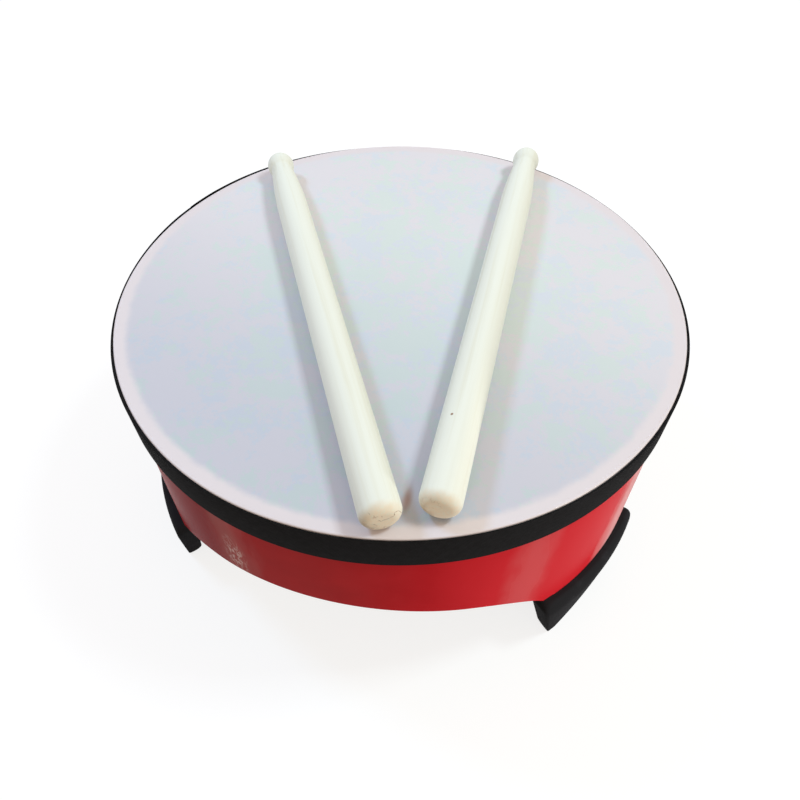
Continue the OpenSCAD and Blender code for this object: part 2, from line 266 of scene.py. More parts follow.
class StageSettings(bpy.types.PropertyGroup):
    """Floor, light and camera"""

    floor: colour("Floor", (137, 137, 137), "Colour of the floor under the camera's white")
    floor_radius: length("Floor radius", 6, "Radius of the floor")
    lift: level("Floor white", 0.8, "White that is seen on top of the floor's own colour")
    world: level("World", 0.63, "Light from all round, as a share of full white")
    world_tint: colour("World tint", (255, 236, 215), "Colour of the light from all round")
    key: level("Key", 0.39, "Light from high on the right, as a share of full white")
    key_tint: colour("Key tint", (229, 248, 255), "Colour of the key light")
    key_turn: angle("Key direction", 14, "Direction of the key light round the drum")
    key_climb: angle("Key height", 60, "Height of the key light above the floor")
    key_distance: length("Key distance", 1.6, "Distance of the key lamp from the drum")
    key_size: length("Key size", 0.3, "Width of the key lamp")
    fill: level("Fill", 0.33, "Light from high on the left, as a share of full white")
    fill_tint: colour("Fill tint", (160, 207, 255), "Colour of the fill light")
    fill_turn: angle("Fill direction", 166, "Direction of the fill light round the drum")
    fill_climb: angle("Fill height", 53, "Height of the fill light above the floor")
    fill_distance: length("Fill distance", 1.6, "Distance of the fill lamp from the drum")
    fill_size: length("Fill size", 0.3, "Width of the fill lamp")
    side: level("Side", 0.28, "Light from the floor on the right, as a share of full white")
    side_tint: colour("Side tint", (255, 255, 255), "Colour of the side light")
    side_turn: angle("Side direction", -30, "Direction of the side light round the drum")
    side_climb: angle("Side height", 2, "Height of the side light above the floor")
    side_distance: length("Side distance", 0.55, "Distance of the side lamp from the drum")
    side_size: length("Side size", 0.04, "Width of the side lamp")
    camera_turn: angle("Camera direction", -77, "Direction of the camera round the drum")
    camera_back: length("Camera distance", 0.2435, "Distance of the camera from the drum's axis")
    camera_height: length("Camera height", 0.3381, "Height of the camera above the floor")
    camera_pitch: angle("Camera pitch", 49.66, "How far the camera looks down")
    lens: level("Lens", 31.5, "Focal length of the camera, in millimetres")


# Drawing meshes

def around(radius, turn, height):
    """A point at a radius, direction and height from the drum's axis."""
    return radius * math.cos(turn), radius * math.sin(turn), height


def spread(first, last, steps):
    """Evenly spaced numbers from first to last."""
    return [first + (last - first) * i / steps for i in range(steps + 1)]


def arc(centre, radius, first, last, steps):
    """Points along an arc in a plane, between two angles in degrees."""
    turns = [math.radians(turn) for turn in spread(first, last, steps)]
    return [(centre[0] + radius * math.cos(turn), centre[1] + radius * math.sin(turn)) for turn in turns]


class Sketch:
    """A mesh being drawn. Each vertex keeps a flat place, in metres, that grain and weave follow."""

    def __init__(self):
        self.bm = bmesh.new()
        self.layer = self.bm.loops.layers.uv.new("Flat")
        self.flat = {}

    def point(self, place, flat=(0, 0)):
        """Adds a vertex."""
        vert = self.bm.verts.new(place)
        self.flat[vert] = flat
        return vert

    def face(self, verts, material=0):
        """Adds a smooth face; a corner named twice counts once."""
        face = self.bm.faces.new(list(dict.fromkeys(verts)))
        face.material_index = material
        face.smooth = True

    def strip(self, first, second, material=0):
        """Adds the quads between two rows of vertices."""
        for i in range(len(first) - 1):
            self.face((first[i], first[i + 1], second[i + 1], second[i]), material)

    def lathe(self, outline, segments):
        """Turns an outline about the Z axis. At each turn the outline gives points of radius and height,
        and a point on the axis becomes a pole."""
        turns = spread(0, 2 * math.pi, segments)[:-1]
        profiles = [outline(turn) for turn in turns]
        rows = []
        for points in zip(*profiles):
            if points[0][0]:
                row = [self.point(around(radius, turn, height))
                       for turn, (radius, height) in zip(turns, points)]
            else:
                row = [self.point((0, 0, points[0][1]))] * segments
            rows.append(row + row[:1])
        for low, high in zip(rows, rows[1:]):
            self.strip(low, high)

    def blocks(self, corner, cells):
        """Skins the filled cells of a three-way grid; corner gives a point's place and flat place."""
        made = {}

        def vert(index):
            if index not in made:
                made[index] = self.point(*corner(*index))
            return made[index]

        for cell in cells:
            for axis in range(3):
                for side in (0, 1):
                    beyond = list(cell)
                    beyond[axis] += 2 * side - 1
                    if tuple(beyond) in cells:
                        continue
                    base = list(cell)
                    base[axis] += side
                    self.face([vert(step(base, axis, way)) for way in ((0, 0), (1, 0), (1, 1), (0, 1))])

    def finish(self, name, materials, crease=180):
        """Turns the sketch into an object whose faces look outwards, with creases at edges that are
        sharper than an angle in degrees."""
        bmesh.ops.recalc_face_normals(self.bm, faces=self.bm.faces)
        for face in self.bm.faces:
            for loop in face.loops:
                loop[self.layer].uv = self.flat[loop.vert]
        mesh = bpy.data.meshes.new(name)
        self.bm.to_mesh(mesh)
        self.bm.free()
        mesh.set_sharp_from_angle(angle=math.radians(crease))
        for material in materials:
            mesh.materials.append(material)
        piece = bpy.data.objects.new(name, mesh)
        bpy.context.scene.collection.objects.link(piece)
        return piece


def step(base, axis, way):
    """The grid index one way along each of the two directions other than the axis."""
    index = list(base)
    index[(axis + 1) % 3] += way[0]
    index[(axis + 2) % 3] += way[1]
    return tuple(index)


def round_edges(piece, width):
    """Rounds every sharp edge."""
    bevel = piece.modifiers.new("Edge rounding", "BEVEL")
    bevel.width = width
    bevel.segments = 3
    bevel.limit_method = "ANGLE"
    bevel.angle_limit = math.radians(SHARP_EDGE)
    bevel.use_clamp_overlap = False
    bevel.harden_normals = True


def stand_for(piece, node, body):
    """Puts a finished piece in the place of its solid part."""
    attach(piece, body)
    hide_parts(node)


# Building materials

def new_material(name):
    """An empty material and its node tree."""
    material = bpy.data.materials.new(name)
    material.use_nodes = True
    material.node_tree.nodes.clear()
    return material, material.node_tree


def add_node(tree, kind, inputs=None, **settings):
    """Adds a node, sets its options, and sets or links its inputs by their identifiers."""
    node = tree.nodes.new(kind)
    for name, value in settings.items():
        setattr(node, name, value)
    sockets = {socket.identifier: socket for socket in node.inputs}
    for name, value in (inputs or {}).items():
        if isinstance(value, bpy.types.NodeSocket):
            tree.links.new(value, sockets[name])
        else:
            sockets[name].default_value = value
    return node


def opaque(rgb):
    """A colour with full alpha, as a socket takes it."""
    return (*rgb, 1)


def place(tree, source, scale=(1, 1, 1), move=(0, 0, 0)):
    """The surface's object or flat place, moved and scaled."""
    coordinates = add_node(tree, "ShaderNodeTexCoord").outputs[source]
    inputs = {"Vector": coordinates, "Scale": scale, "Location": move}
    return add_node(tree, "ShaderNodeMapping", inputs).outputs[0]


def noise(tree, vector, scale, detail=3, roughness=0.5, distortion=0):
    """Cloudy noise from 0 to 1."""
    inputs = {"Vector": vector, "Scale": scale, "Detail": detail}
    inputs |= {"Roughness": roughness, "Distortion": distortion}
    return add_node(tree, "ShaderNodeTexNoise", inputs).outputs[0]


def fit(tree, value, low, high, new_low=0, new_high=1):
    """A value carried from one range to another, smoothly and without overshooting."""
    inputs = {"Value": value, "From Min": low, "From Max": high, "To Min": new_low, "To Max": new_high}
    return add_node(tree, "ShaderNodeMapRange", inputs, interpolation_type="SMOOTHSTEP").outputs[0]


def calc(tree, operation, first, second=0):
    """One sum on two values."""
    inputs = {"Value": first, "Value_001": second}
    return add_node(tree, "ShaderNodeMath", inputs, operation=operation).outputs[0]


def span(tree, vector, measure="LENGTH", other=(0, 0, 0)):
    """The length of a vector, or its distance from a point or reach along a direction."""
    inputs = {"Vector": vector, "Vector_001": other}
    return add_node(tree, "ShaderNodeVectorMath", inputs, operation=measure).outputs["Value"]


def blend(tree, factor, first, second, mode="MIX"):
    """Two colours mixed, or multiplied, by a factor."""
    inputs = {"Factor_Float": factor, "A_Color": first, "B_Color": second}
    return add_node(tree, "ShaderNodeMix", inputs, data_type="RGBA", blend_type=mode).outputs[2]


def bump(tree, height, distance):
    """A surface normal raised by a height, with its depth in metres."""
    inputs = {"Height": height, "Distance": distance, "Strength": 1}
    return add_node(tree, "ShaderNodeBump", inputs).outputs[0]


def surface(tree, inputs):
    """Ends a material in one Principled shader."""
    shader = add_node(tree, "ShaderNodeBsdfPrincipled", inputs)
    add_node(tree, "ShaderNodeOutputMaterial", {"Surface": shader.outputs[0]})


# Materials

def red_lacquer(shell):
    """Red lacquer with soft clouds, painted light on the wall's right and painted shade on its left,
    painted highlight and reflection streaks, and a scratched spot with a painted glint.
    """
    material, tree = new_material("Red lacquer")
    flat = place(tree, "UV")
    clouds = fit(tree, noise(tree, flat, 30, detail=4, roughness=0.6), 0.35, 0.65)
    red = blend(tree, clouds, opaque(shell.lacquer), opaque(shell.lacquer_deep))
    upright = noise(tree, place(tree, "UV", (70, 25, 1)), 1)
    ragged = fit(tree, upright, 0.2, 0.8, -shell.ragged, shell.ragged)

    def off_line(turn):
        line = span(tree, place(tree, "UV", (1, 0, 0), (-shell.radius * turn, 0, 0)))
        return calc(tree, "ADD", line, ragged)

    # Painted light on the wall's right and painted shade on its left: each one's direction and colour,
    # and the distances where it starts and is full
    tones = (
        (shell.painted_light_turn, shell.lacquer_painted_light, 0.085, 0.025),
        (shell.painted_shade_turn, shell.lacquer_painted_shade, 0.045, 0.01),
    )
    for turn, tone, start, full in tones:
        red = blend(tree, fit(tree, off_line(turn), start, full), red, opaque(tone))
    # A scratched spot with a painted glint: a pale patch broken up by scratch strokes
    strokes = noise(tree, place(tree, "UV", (700, 330, 1)), 1, detail=5, roughness=0.65, distortion=0.6)
    glint_scale = Vector((1.45, 0.55, 0))
    glint_middle = Vector((shell.radius * shell.scuffed_glint_turn, shell.scuffed_glint_height, 0))
    off_glint = span(tree, place(tree, "UV", glint_scale, -glint_scale * glint_middle))
    glint = fit(tree, off_glint, shell.scuffed_glint_reach, shell.scuffed_glint_core, 0, 0.75)
    lighter = calc(tree, "MULTIPLY", glint, fit(tree, strokes, 0.47, 0.6))
    # Painted highlight and reflection streaks up the wall: each one's direction, half width and paleness
    streaks = (
        (shell.highlight_turn, 0.014, 0.1),
        (shell.right_reflection_turn, 0.021, 0.55),
        (shell.scuffed_glint_turn, 0.015, 0.15),
        (shell.left_reflection_turn, 0.06, 0.04),
    )
    for turn, half_width, paleness in streaks:
        streak = fit(tree, off_line(turn), half_width, half_width / 8, 0, paleness)
        lighter = calc(tree, "ADD", lighter, streak)
    peel = noise(tree, flat, 420, detail=1)
    # The painted highlights, reflections and glint pale the red and make it rougher
    surface(tree, {
        "Base Color": blend(tree, lighter, red, opaque(shell.scuff_and_glare)),
        "Roughness": fit(tree, lighter, 0, 0.5, 0.26, 0.5),
        "Specular IOR Level": 0.003,
        "Normal": bump(tree, peel, 0.00001),
    })
    return material


def bare_veneer(shell):
    """Bare face veneer, with its grain running round the drum."""
    material, tree = new_material("Bare veneer")
    lines = noise(tree, place(tree, "UV", (5, 420, 1)), 1, detail=6, roughness=0.6, distortion=0.4)
    figure = noise(tree, place(tree, "UV", (9, 60, 1)), 1, distortion=0.8)
    grain = calc(tree, "ADD", calc(tree, "MULTIPLY", lines, 0.65), calc(tree, "MULTIPLY", figure, 0.45))
    dark = fit(tree, grain, 0.42, 0.78)
    surface(tree, {
        "Base Color": blend(tree, dark, opaque(shell.veneer), opaque(shell.veneer_dark)),
        "Roughness": fit(tree, lines, 0.3, 0.7, 0.55, 0.72),
        "Specular IOR Level": 0.3,
        "Normal": bump(tree, lines, 0.00008),
    })
    return material


def sawn_ply(shell):
    """Sawn edge of the plywood: pale and dark plies in turn across the wall."""
    material, tree = new_material("Sawn ply edge")
    radius = span(tree, place(tree, "Object", (1, 1, 0)))
    depth = calc(tree, "SUBTRACT", radius, shell.radius - shell.wall)
    ply_count = 5
    plies = calc(tree, "SINE", calc(tree, "MULTIPLY", depth, ply_count * math.pi / shell.wall))
    fibres = noise(tree, place(tree, "Object"), 900, detail=4, roughness=0.6)
    tone = calc(tree, "ADD", fit(tree, plies, -0.25, 0.25), calc(tree, "MULTIPLY", fibres, 0.5))
    pale = fit(tree, tone, 0.2, 1.4)
    surface(tree, {
        "Base Color": blend(tree, pale, opaque(shell.veneer_dark), opaque(shell.veneer)),
        "Roughness": 0.75,
        "Specular IOR Level": 0.2,
        "Normal": bump(tree, tone, 0.00006),
    })
    return material


def drum_skin(head):
    """Pale mottled skin, lighter and pinker where it lies on the wall, and darkened towards the front by
    painted shade.
    """
    material, tree = new_material("Drum skin")
    spot = place(tree, "Object")
    forward = span(tree, spot, "DOT_PRODUCT", (-0.2, -0.98, 0))
    leftward = span(tree, spot, "DOT_PRODUCT", (-1, 0, 0))
    radius = span(tree, place(tree, "Object", (1, 1, 0)))
    drift = fit(tree, radius, 0.03, 0.12, 0.02, -0.025)
    drift = calc(tree, "ADD", drift, fit(tree, leftward, 0.02, 0.1, 0, -0.015))

    def patches(scale):
        cloudy = noise(tree, spot, scale, detail=12, roughness=0.82, distortion=0.2)
        return fit(tree, calc(tree, "ADD", cloudy, drift), 0.495, 0.53)

    tint = blend(tree, patches(42), opaque(head.skin_violet), opaque(head.skin_blue))
    mottled = blend(tree, patches(55), tint, opaque(head.skin_green))
    # Painted shade: the skin darkens towards the front
    mottled = blend(tree, fit(tree, forward, -0.06, 0.12), mottled, opaque(head.skin_painted_shade), "MULTIPLY")
    ragged = noise(tree, spot, 110, detail=6, roughness=0.6)
    uneven = calc(tree, "ADD", radius, fit(tree, ragged, 0.2, 0.8, -head.seat_stray, head.seat_stray))
    seated = fit(tree, uneven, head.seat - head.seat_before, head.seat + head.seat_beyond)
    skin = blend(tree, seated, mottled, opaque(head.skin_rim))
    # A small brown spot, darker in its middle
    mark_scale = Vector((1, 0.33, 0))
    mark_middle = Vector((head.mark_x, head.mark_y, 0))
    off_mark = span(tree, place(tree, "Object", mark_scale, -mark_scale * mark_middle))
    marked = fit(tree, off_mark, head.mark_reach, head.mark_core, 0, 0.75)
    fibres = noise(tree, spot, 700, detail=5, roughness=0.7)
    surface(tree, {
        "Base Color": blend(tree, marked, skin, opaque(head.stain)),
        "Roughness": fit(tree, fibres, 0.3, 0.7, 0.42, 0.58),
        "Specular IOR Level": 0.5,
        "Normal": bump(tree, fibres, 0.00002),
    })
    return material


def black_ribbon(head):
    """Black woven ribbon: crossing threads, slightly paler where they stand proud."""
    material, tree = new_material("Black ribbon")
    flat = add_node(tree, "ShaderNodeSeparateXYZ", {"Vector": place(tree, "UV")})
    per_thread = math.pi / head.thread
    warp = calc(tree, "SINE", calc(tree, "MULTIPLY", flat.outputs[0], per_thread))
    weft = calc(tree, "SINE", calc(tree, "MULTIPLY", flat.outputs[1], per_thread))
    weave = calc(tree, "MULTIPLY", warp, weft)
    fuzz = noise(tree, place(tree, "UV"), 2600, roughness=0.7)
    worn = noise(tree, place(tree, "UV"), 330, detail=5, roughness=0.7)
    raised = calc(tree, "ADD", fit(tree, weave, -0.8, 0.8), calc(tree, "MULTIPLY", fuzz, 0.8))
    tone = calc(tree, "ADD", raised, fit(tree, worn, 0.35, 0.65, -0.35, 0.35))
    pale = fit(tree, tone, 0.5, 1.5)
    surface(tree, {
        "Base Color": blend(tree, pale, opaque(head.ribbon), opaque(head.ribbon_worn)),
        "Roughness": 0.9,
        "Specular IOR Level": 0.06,
        "Normal": bump(tree, raised, 0.0001),
    })
    return material


def black_moulding(foot):
    """Black moulded plastic with a fine spark texture and rubbed patches."""
    material, tree = new_material("Black moulding")
    spot = place(tree, "Object")
    sparks = noise(tree, spot, 1500, roughness=0.6)
    lighter = fit(tree, noise(tree, spot, 60, detail=4, roughness=0.6), 0.5, 0.75)
    surface(tree, {
        "Base Color": blend(tree, lighter, opaque(foot.black), opaque(foot.black_worn)),
        "Roughness": fit(tree, sparks, 0.3, 0.7, 0.45, 0.6),
        "Specular IOR Level": 0.002,
        "Normal": bump(tree, sparks, 0.00004),
    })
    return material


def plated_steel(foot):
    """Zinc-plated steel with faint drawing marks."""
    material, tree = new_material("Plated steel")
    marks = noise(tree, place(tree, "Object", (900, 900, 3000)), 1)
    shaded = [0.8 * share for share in foot.zinc]
    surface(tree, {
        "Base Color": blend(tree, marks, opaque(foot.zinc), opaque(shaded)),
        "Metallic": 1.0,
        "Roughness": fit(tree, marks, 0.3, 0.7, 0.28, 0.45),
        "Normal": bump(tree, marks, 0.00001),
    })
    return material


def stick_wood(name, stick, seed, cracked, knotted):
    """Pale sanded wood with faint long grain, tan cracked end grain at the butt with painted shade on
    its lower side, and perhaps a knot.
    """
    material, tree = new_material(name)
    spot = place(tree, "Object", move=(seed, 0, 0))
    drawn_out = place(tree, "Object", (420, 420, 7), (seed, 0, 0))
    lines = noise(tree, drawn_out, 1, detail=4, roughness=0.55, distortion=0.2)
    wood = blend(tree, fit(tree, lines, 0.45, 0.85), opaque(stick.ivory), opaque(stick.grain))
    along = add_node(tree, "ShaderNodeSeparateXYZ", {"Vector": spot}).outputs[2]
    stray = calc(tree, "MULTIPLY", noise(tree, spot, 260, detail=4), stick.sawn_stray)
    sawn = fit(tree, calc(tree, "ADD", along, stray), stick.sawn_reach, stick.sawn_core)
    fibres = fit(tree, noise(tree, spot, 700, detail=5, roughness=0.65), 0.4, 0.8)
    # Painted shade: the lower side of each sawn end darkens in blotches
    underside = span(tree, place(tree, "Object"), "DOT_PRODUCT", (-0.7, 0.7, 0))
    shade_blotches = fit(tree, noise(tree, spot, 330, detail=5, roughness=0.7), 0.35, 0.6)
    end_shading = calc(tree, "MULTIPLY", fit(tree, underside, 0.001, 0.007, 0, 0.8), shade_blotches)
    end = blend(tree, fibres, opaque(stick.end_grain), opaque(stick.grain))
    end = blend(tree, end_shading, end, opaque(stick.end_shade))
    folds = noise(tree, spot, 120, roughness=0.55, distortion=0.5)
    veins = calc(tree, "ABSOLUTE", calc(tree, "SUBTRACT", folds, 0.5))
    broken = fit(tree, noise(tree, spot, 190, detail=2), 0.48, 0.58)
    cracks = calc(tree, "MULTIPLY", fit(tree, veins, 0.016, 0.004, 0, cracked), broken)
    cracks = calc(tree, "MULTIPLY", cracks, fit(tree, along, 0.0025, 0.001))
    off_knot = span(tree, place(tree, "Object"), "DISTANCE", KNOT)
    knot = fit(tree, off_knot, stick.knot_reach, stick.knot_core, 0, knotted)
    marks = calc(tree, "MAXIMUM", cracks, knot)
    surface(tree, {
        "Base Color": blend(tree, marks, blend(tree, sawn, wood, end), opaque(stick.crack)),
        "Roughness": fit(tree, lines, 0.3, 0.7, 0.55, 0.65),
        "Specular IOR Level": 0.2,
        "Normal": bump(tree, calc(tree, "SUBTRACT", lines, marks), 0.00003),
    })
    return material


def floor_paper(stage):
    """Matte floor that the camera and gloss see lifted to white, with the drum's shadow on it."""
    material, tree = new_material("Floor paper")
    path = add_node(tree, "ShaderNodeLightPath").outputs
    seen = calc(tree, "MAXIMUM", path["Is Camera Ray"], path["Is Glossy Ray"])
    white = calc(tree, "MULTIPLY", seen, stage.lift)
    surface(tree, {
        "Base Color": opaque(stage.floor),
        "Roughness": 1.0,
        "Specular IOR Level": 0.0,
        "Emission Color": (1, 1, 1, 1),
        "Emission Strength": white,
    })
    return material


# Shapes

def arch_outline(shell):
    """Half an arch from its foot to its crown: a haunch arc that runs into a crown arc."""
    lobe_turn = math.asin(shell.lobe / 2 / shell.radius)
    half_width = shell.radius * math.sin(FOOT_STEP / 2 - lobe_turn)
    haunch_x = half_width - math.sqrt(shell.haunch ** 2 - shell.haunch_drop ** 2)
    whole_rise = shell.rise + shell.haunch_drop
    crown_radius = (haunch_x ** 2 / (whole_rise - shell.haunch) + whole_rise + shell.haunch) / 2
    start = math.degrees(math.asin(shell.haunch_drop / shell.haunch))
    meet = math.degrees(math.atan2(crown_radius - whole_rise, haunch_x))
    haunch = arc((haunch_x, -shell.haunch_drop), shell.haunch, start, meet, 14)
    crown = arc((0, shell.rise - crown_radius), crown_radius, meet, 90, 24)
    return haunch + crown[1:]


def wall_foot(shell, foot, radius):
    """Direction and height where each column of the wall starts, from one side of the seam to the other,
    and whether a tongue goes on below it."""
    outline = arch_outline(shell)
    arch = [(FOOT_STEP / 2 - math.asin(across / radius), foot.height + up) for across, up in outline]
    tongue = [(math.asin(across / radius), foot.height) for across in spread(0, shell.tongue / 2, 9)]
    half = [(*spot, True) for spot in tongue] + [(*spot, False) for spot in arch]
    columns = []
    for middle in map(math.radians, FOOT_ANGLES.values()):
        shared = 1 if columns else 0
        before = [(middle - turn, height, below) for turn, height, below in reversed(half)]
        after = [(middle + turn, height, below) for turn, height, below in half]
        columns += before[shared:] + after[1:]
    slit = math.asin(shell.seam / 2 / radius)
    columns[0] = (columns[0][0] + slit, *columns[0][1:])
    columns[-1] = (columns[-1][0] - slit, *columns[-1][1:])
    return columns


def eased_rows(low, top, rows=16, rounds=600):
    """Rows of arc length and height from a curved lower edge to a level top, eased over many rounds so
    that the columns run smoothly."""
    low = np.array(low)
    high = np.column_stack([np.linspace(low[0, 0], low[-1, 0], len(low)), np.full(len(low), top)])
    share = np.linspace(0, 1, rows + 1)[:, None, None]
    grid = low * (1 - share) + high * share
    for _ in range(rounds):
        grid[1:-1, 1:-1] = (grid[:-2, 1:-1] + grid[2:, 1:-1] + grid[1:-1, :-2] + grid[1:-1, 2:]) / 4
    return grid


def wall_rows(sketch, shell, foot, radius, top, top_round=0.0):
    """Rows of vertices up one face of the wall, and rows down each of its three tongues."""
    columns = wall_foot(shell, foot, radius)
    grid = eased_rows([(turn * radius, height) for turn, height, _ in columns], top - top_round)
    rows = [[sketch.point(around(radius, u / radius, v), (u, v)) for u, v in row] for row in grid]
    rounding = arc((radius - top_round, top - top_round), top_round, 0, 90, 5) if top_round else []
    for r, z in rounding[1:]:
        rows.append([sketch.point(around(r, u / radius, z), (u, z)) for u, _ in grid[-1]])
    tongues = []
    starts = [i for i, column in enumerate(columns) if column[2] and not columns[i - 1][2]]
    for start in starts:
        count = next(i for i in range(start, len(columns)) if not columns[i][2]) - start
        turns = [columns[i][0] for i in range(start, start + count)]
        tongue = [rows[0][start:start + count]]
        for z in spread(foot.height, shell.tongue_low, 3)[1:]:
            tongue.append([sketch.point(around(radius, turn, z), (turn * radius, z)) for turn in turns])
        tongues.append((start, tongue))
    return rows, tongues


def make_shell(shell, foot):
    """The bent wall with its arches, tongues and open seam."""
    lacquered, bare, sawn = range(3)
    sketch = Sketch()
    outside, outer_tongues = wall_rows(sketch, shell, foot, shell.radius, shell.top, shell.top_round)
    inside, inner_tongues = wall_rows(sketch, shell, foot, shell.radius - shell.wall, shell.top)
    for rows, material in ((outside, lacquered), (inside, bare)):
        for low, high in zip(rows, rows[1:]):
            sketch.strip(low, high, material)
    sketch.strip(outside[-1], inside[-1], sawn)
    in_tongue = set()
    for (start, outer), (_, inner) in zip(outer_tongues, inner_tongues):
        in_tongue.update(range(start, start + len(outer[0]) - 1))
        for rows, material in ((outer, lacquered), (inner, bare)):
            for high, low in zip(rows, rows[1:]):
                sketch.strip(high, low, material)
        sketch.strip(outer[-1], inner[-1], sawn)
        for end in (0, -1):
            sketch.strip([row[end] for row in outer], [row[end] for row in inner], sawn)
    for i in range(len(outside[0]) - 1):
        if i not in in_tongue:
            sketch.strip(outside[0][i:i + 2], inside[0][i:i + 2], sawn)
    for end in (0, -1):
        sketch.face([row[end] for row in outside] + [row[end] for row in reversed(inside)], lacquered)
    piece = sketch.finish("shell_wall", [red_lacquer(shell), bare_veneer(shell), sawn_ply(shell)])
    round_edges(piece, shell.edge)
    return piece


def make_joint_strip(shell):
    """The strip of bent ply that is glued behind the seam."""
    half_turn = math.asin(shell.strip_width / 2 / shell.strip_radius)
    turns = spread(SEAM_TURN - half_turn, SEAM_TURN + half_turn, 24)
    radii = [shell.strip_radius - shell.strip_wall, shell.strip_radius]
    heights = spread(STRIP_LOW.z, STRIP_HIGH.z, 4)
    sketch = Sketch()
    sketch.blocks(
        lambda i, j, k: (around(radii[j], turns[i], heights[k]), (turns[i] * radii[j], heights[k])),
        {(i, 0, k) for i in range(len(turns) - 1) for k in range(len(heights) - 1)},
    )
    piece = sketch.finish("seam_strip", [bare_veneer(shell)])
    round_edges(piece, shell.edge)
    return piece


def nearness(turn, other, narrowness=8):
    """How near one direction is to another, from 0 to 1."""
    return max(math.cos(turn - other), 0) ** narrowness


def swelling(head, turn):
    """How far the ribbon's outside swells in a direction."""
    return head.bulge * (nearness(turn, head.bulge_left) + nearness(turn, head.bulge_right))


def make_head(head):
    """The skin: a flat playing surface, a fold that stands out over the ribbon, and a hidden collar."""
    inner_fold = 4 * head.skin
    inner_centre = (head.radius - head.skin - inner_fold, head.top - head.skin - inner_fold)
    rings = spread(0, head.seat, 14)
    collar = [
        (head.radius, head.top - 2 * head.lip_low),
        (head.radius, head.low),
        (head.radius - head.skin, head.low),
    ]
    underside = [(r, head.top - head.skin) for r in reversed(rings)]
    inner = arc(inner_centre, inner_fold, 0, 90, 8) + underside

    def outline(turn):
        stray = head.band_wave * (math.cos(7 * turn + 1) + math.cos(3 * turn))
        lip = head.lip + stray / 2 - (head.lip - head.radius) * nearness(turn, head.band_turn)
        centre = (lip - head.fold, head.top - head.fold)
        flat = [(r, head.top) for r in rings + [centre[0] - head.fold]]
        fold = arc(centre, head.fold, 90, 0, 6) + [(lip, head.top - head.lip_low)]
        return flat + fold + collar + inner

    sketch = Sketch()
    sketch.lathe(outline, HEAD_STEPS)
    return sketch.finish("head_skin", [drum_skin(head)])


def ease(share):
    """A share from 0 to 1 with a soft start and end."""
    share = min(max(share, 0), 1)
    return share * share * (3 - 2 * share)


def make_ribbon(head):
    """The ribbon: one strip once round the drum, pressed thin where its end laps over its start."""
    whole = 2 * math.pi
    lap = head.band_lap / head.band_in
    climb = head.band_climb / head.band_in
    half = head.band / 2
    width = head.band_high - head.band_low
    section = arc((0, half), half, -180, 0, 6) + arc((0, width - half), half, 0, 180, 6)
    sketch = Sketch()
    rows = []
    for turn in spread(0, whole + lap, RIBBON_STEPS):
        under = 1 - ease((turn - lap) / climb)
        over = ease((turn - whole + climb) / climb)
        pressed = 1 - max(under, over) / 2
        middle = head.band_in + half * pressed + over * head.band * head.band_step
        way = head.band_turn + turn
        stray = head.band_wave * math.cos(5 * way) + head.band_rise * nearness(way, head.band_turn)
        row = []
        for r, z in section:
            outward = (half + r) / head.band * (1 + z / width) / 2
            radius = middle + r * pressed + swelling(head, way) * outward
            row.append(sketch.point(around(radius, way, head.band_low + z + stray), (turn * middle, z)))
        rows.append(row + row[:1])
    for first, second in zip(rows, rows[1:]):
        sketch.strip(first, second)
    for row in (rows[0], rows[-1]):
        sketch.face(row)
    piece = sketch.finish("rim_ribbon", [black_ribbon(head)])
    flat_length = (whole + lap) * (head.band_in + half)
    return piece, (width, flat_length)


def rounded_off(radius, depth):
    """How far a rounded edge lies back at a depth into its rounding."""
    depth = min(max(depth, 0), radius)
    return radius - math.sqrt(radius ** 2 - depth ** 2)


